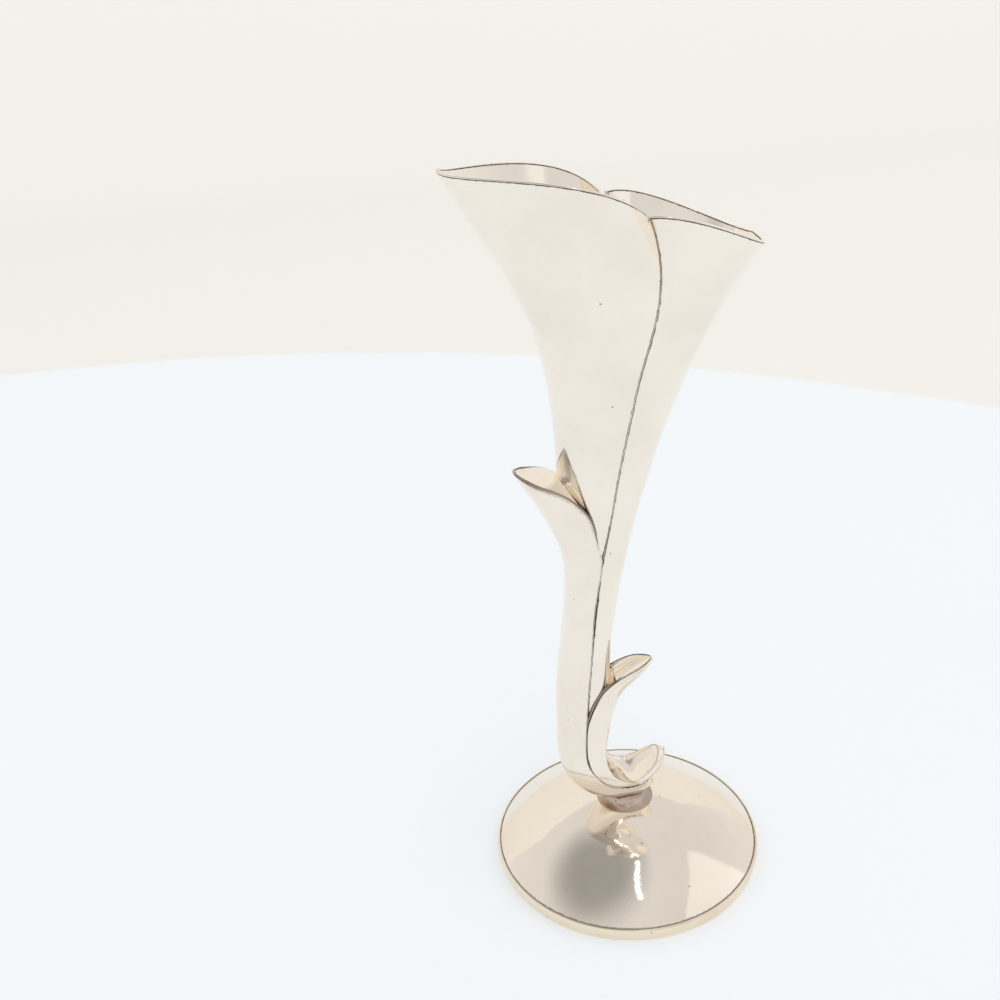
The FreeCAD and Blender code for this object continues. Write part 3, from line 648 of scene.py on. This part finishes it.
outer_rows = []
inner_rows = []
for angle, outer, edge, width in STRAP_BEND_SHARES:
    edge_x, edge_z = on_bend(angle, edge)
    inner = outer - WALL / BEND_RADIUS
    half_width = BEND_HALF_WIDTH * width
    outer_edge = (edge_x, half_width, edge_z)
    inner_edge = (edge_x, half_width - WALL, edge_z)
    outer_rows.append((*on_bend(angle, outer), *outer_edge, *strap_handles))
    inner_rows.append((*on_bend(angle, inner), *inner_edge, *strap_handles))
stem_rows = [stem_lines(*shares) for shares in STEM_SHARES]
stem_rows.append((STEM_BACK, STEM_SEAM, STEM_HALF_WIDTH, STEM_FRONT, STEM_TOP))
for back_x, seam_x, seam_y, _, level in stem_rows:
    outer_rows.append((back_x, level, seam_x, seam_y, level, *strap_handles))
    inner_rows.append((back_x + WALL, level, seam_x, seam_y - WALL, level, *strap_handles))
for place, rise, edge_place, edge_rise, width, inner_place, inner_rise in BLADE_SHARES:
    edge_x = mix(STEM_SEAM, UPPER_TIP[0], edge_place)
    edge_z = mix(STEM_TOP, UPPER_TIP[1], edge_rise)
    back_x, inner_x = (mix(STEM_BACK, UPPER_TIP[0], share) for share in (place, inner_place))
    back_z, inner_z = (mix(STEM_TOP, UPPER_TIP[1], share) for share in (rise, inner_rise))
    half_width = BLADE_HALF_WIDTH * width
    inner_edge = (edge_x, half_width - WALL * 0.8, edge_z + WALL * 0.2)
    outer_rows.append((back_x, back_z, edge_x, half_width, edge_z, *blade_handles))
    inner_rows.append((inner_x, inner_z, *inner_edge, *blade_handles))
tip_x, tip_z = UPPER_TIP
inner_tip_x, inner_tip_z = tip_x + TIP_HALF_WIDTH, tip_z - TIP_DROP
inner_tip_edge = (inner_tip_x, TIP_HALF_WIDTH * 0.8, inner_tip_z)
outer_rows.append((tip_x, tip_z, tip_x, TIP_HALF_WIDTH, tip_z, *tip_handles))
inner_rows.append((inner_tip_x, inner_tip_z, *inner_tip_edge, *tip_handles))
# The leaves' edge band is dirt and solder at their joints, and painted shade along their edges where
# they stand off the petals
leaf_silver = silver(
    "leaf_silver", (0.93, 0.85, 0.75), (0.84, 0.74, 0.64), 0.5, 0.07, 0.00014,
    joint=0.45, joint_and_shade_dark=0.9,
)
strap_outside = formed_sheet(outer_rows, 321, 121)
strap_inside = formed_sheet(inner_rows, 321, 121)
upper_leaf = closed_shell(
    "upper_leaf_strap", strap_outside, strap_inside, EDGE_ROUNDING, leaf_silver
)
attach(upper_leaf, "root")
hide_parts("upper_leaf")

# Lower leaf: one casting, a thick leaf down the front of the stem that turns forward into a
# scoop. It is filed, polished and soldered against the front petal and the strap's end.
# A row: the outside skin's spine x and z and edge x, width and z, and then the inside skin's
LOWER_LEAF_SHARES = [
    (0.470, 0.993, 0.470, 0.08, 1.000, 0.486, 0.979, 0.486, 0.08, 0.979),
    (0.260, 0.893, 0.250, 0.60, 0.971, 0.310, 0.850, 0.270, 0.63, 0.943),
    (0.020, 0.771, 0.000, 0.73, 0.911, 0.090, 0.721, 0.030, 0.76, 0.879),
    (-0.190, 0.593, -0.283, 0.83, 0.800, -0.060, 0.564, -0.220, 0.86, 0.764),
    (-0.250, 0.393, -0.455, 0.98, 0.656, -0.180, 0.350, -0.270, 0.95, 0.564),
    (-0.300, 0.179, -0.580, 1.00, 0.421, -0.250, 0.164, -0.310, 0.95, 0.307),
    (-0.400, -0.030, -0.615, 0.98, 0.150, -0.300, -0.010, -0.340, 0.93, 0.064),
    (-0.440, -0.330, -0.588, 0.99, -0.190, -0.280, -0.290, -0.330, 0.97, -0.200),
    (-0.280, -0.610, -0.400, 1.00, -0.500, -0.170, -0.540, -0.240, 1.00, -0.420),
    (-0.060, -0.760, -0.140, 1.02, -0.640, -0.010, -0.680, -0.050, 1.02, -0.570),
    (0.180, -0.770, 0.160, 1.00, -0.650, 0.170, -0.690, 0.150, 1.00, -0.585),
    (0.430, -0.650, 0.400, 0.85, -0.540, 0.360, -0.560, 0.345, 0.83, -0.480),
    (0.600, -0.480, 0.570, 0.52, -0.410, 0.500, -0.420, 0.490, 0.54, -0.350),
    (0.650, -0.310, 0.640, 0.08, -0.310, 0.544, -0.270, 0.540, 0.08, -0.260),
]
LOWER_LEAF_TOP = 60.0
STEM_JOINT_ROWS = 185
leaf_handles = (0.55, 0.45, 0.0, 0.0, 1.00)
leaf_table = np.array(LOWER_LEAF_SHARES)
levels = leaf_table[:, [1, 4, 6, 9]]
levels = BEND_LEVEL + levels * np.where(levels > 0, LOWER_LEAF_TOP - BEND_LEVEL, BEND_RADIUS)
places = leaf_table[:, [0, 2, 5, 7]] * BEND_RADIUS
half_widths = leaf_table[:, [3, 8]] * BEND_HALF_WIDTH
handles = np.array([tip_handles] + [leaf_handles] * 12 + [tip_handles])
leaf_skins = []
for skin in (0, 1):
    spine, edge = 2 * skin, 2 * skin + 1
    spine_columns = [places[:, spine], levels[:, spine]]
    edge_columns = [places[:, edge], half_widths[:, skin], levels[:, edge]]
    rows = np.column_stack(spine_columns + edge_columns + [handles])
    leaf_skins.append(formed_sheet(rows, 241, 101))
lower_leaf = closed_shell(
    "lower_leaf_casting", *leaf_skins, EDGE_ROUNDING, leaf_silver, free=STEM_JOINT_ROWS
)
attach(lower_leaf, "root")
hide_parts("lower_leaf")


# Solder: the rough dark seams that hold both leaves to the stem. The solder ran along each leaf's
# edge when the pieces were joined, and was never polished inside the narrow corner.
def solder_seam(name, path, radius, material):
    """
    A tube of eight sides along a path, in millimetres. Corner k lies from the path's point s at
    radius (0.85 + 0.15 sin(2.3 s)) times (cos, sin) of k eighths of a turn across the path, and
    over the first and last dozen points the radius thins to a fiftieth. Three flat faces close
    each end.
    """
    step = np.gradient(path, axis=0)
    step /= np.linalg.norm(step, axis=1, keepdims=True)
    side = np.cross(step, (0, 0.3, 1))
    side /= np.linalg.norm(side, axis=1, keepdims=True)
    other = np.cross(step, side)
    number = np.arange(len(path))
    thin = np.clip(np.minimum(number, number[::-1]) / 12 + 0.02, 0, 1)
    size = radius * thin * (0.85 + 0.15 * np.sin(2.3 * number))
    turn = np.linspace(0, 2 * np.pi, 8, endpoint=False)
    cos, sin = np.cos(turn)[None, :, None], np.sin(turn)[None, :, None]
    ring = side[:, None] * cos + other[:, None] * sin
    points = path[:, None] + ring * size[:, None, None]
    start_cap = np.array([(0, 1, 2, 3), (0, 3, 4, 7), (4, 5, 6, 7)])
    end_cap = start_cap[:, ::-1] + 8 * (len(path) - 1)
    faces = np.vstack([ring_faces(len(path), 8)[:-8], start_cap, end_cap])
    seam = build(name, points.reshape(-1, 3) / 1000, faces, material)
    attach(seam, "root")


solder = silver("solder", (0.42, 0.36, 0.30), (0.20, 0.16, 0.13), 0.9, 0.42, 0.00012, pins=0.0)
# Each seam follows its leaf's edge, drawn in by a tenth towards the middle
DRAWN_IN = (1, 0.9, 1)
leaf_edges = leaf_skins[0][42:150] * DRAWN_IN - (0.35, 0, 0)
blade_edges = strap_outside[205:306] * DRAWN_IN + (0.1, 0, 0.1)
for side_name, column in (("right", 0), ("left", -1)):
    solder_seam("lower_leaf_solder_" + side_name, leaf_edges[:, column], 0.5, solder)
    solder_seam("upper_leaf_solder_" + side_name, blade_edges[:, column], 0.4, solder)

# Collar: a low turned seat, silver plated, that flares out on the dome and whose top is filed to
# the underside of the bend. It is coloured dark brown, darker still in a ragged band along its top.
COLLAR_BASE = DOME_TOP + GAP
SOLDER_DEPTH = 0.3
collar_line = smooth_line([
    (7.60, 0.00), (6.40, 0.05), (5.60, 0.14), (5.10, 0.28),
    (4.85, 0.46), (4.72, 0.70), (4.65, 1.00),
], 41)
COLLAR_TURNS = 144
angle = np.linspace(0, 2 * np.pi, COLLAR_TURNS, endpoint=False)
# Each point of the collar's top takes the height of the strap's nearest point above it
bend_skin = strap_outside[:110].reshape(-1, 3)
bend_skin = bend_skin[bend_skin[:, 2] < BEND_LEVEL - 6]
top_x = collar_line[-1, 0] * np.cos(angle)
top_y = collar_line[-1, 0] * np.sin(angle)
away = (bend_skin[:, 0] - top_x[:, None]) ** 2 + (bend_skin[:, 1] - top_y[:, None]) ** 2
collar_top = bend_skin[away.argmin(1), 2] + SOLDER_DEPTH
reach, share = (column[None, :] for column in collar_line.T)
collar_x = reach * np.cos(angle)[:, None]
collar_y = reach * np.sin(angle)[:, None]
collar_z = COLLAR_BASE + (collar_top - COLLAR_BASE)[:, None] * share
outside = np.stack([collar_x, collar_y, collar_z], -1)
bore = outside[:, [-1, 0]].copy()
bore[..., :2] *= STUD_RADIUS / np.linalg.norm(bore[..., :2], axis=-1, keepdims=True)
collar_points = np.concatenate([outside, bore], 1)
from_top = (collar_top[:, None] - collar_points[..., 2]).ravel()
collar_silver = silver(
    "collar_silver", (0.56, 0.46, 0.39), (0.36, 0.28, 0.24), 0.9, 0.26, 0.00014, joint=0.9
)
ring = ring_faces(COLLAR_TURNS, len(collar_line) + 2)
collar = build("collar_neck", collar_points.reshape(-1, 3) / 1000, ring, collar_silver, from_top)
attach(collar, "root")
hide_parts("collar")
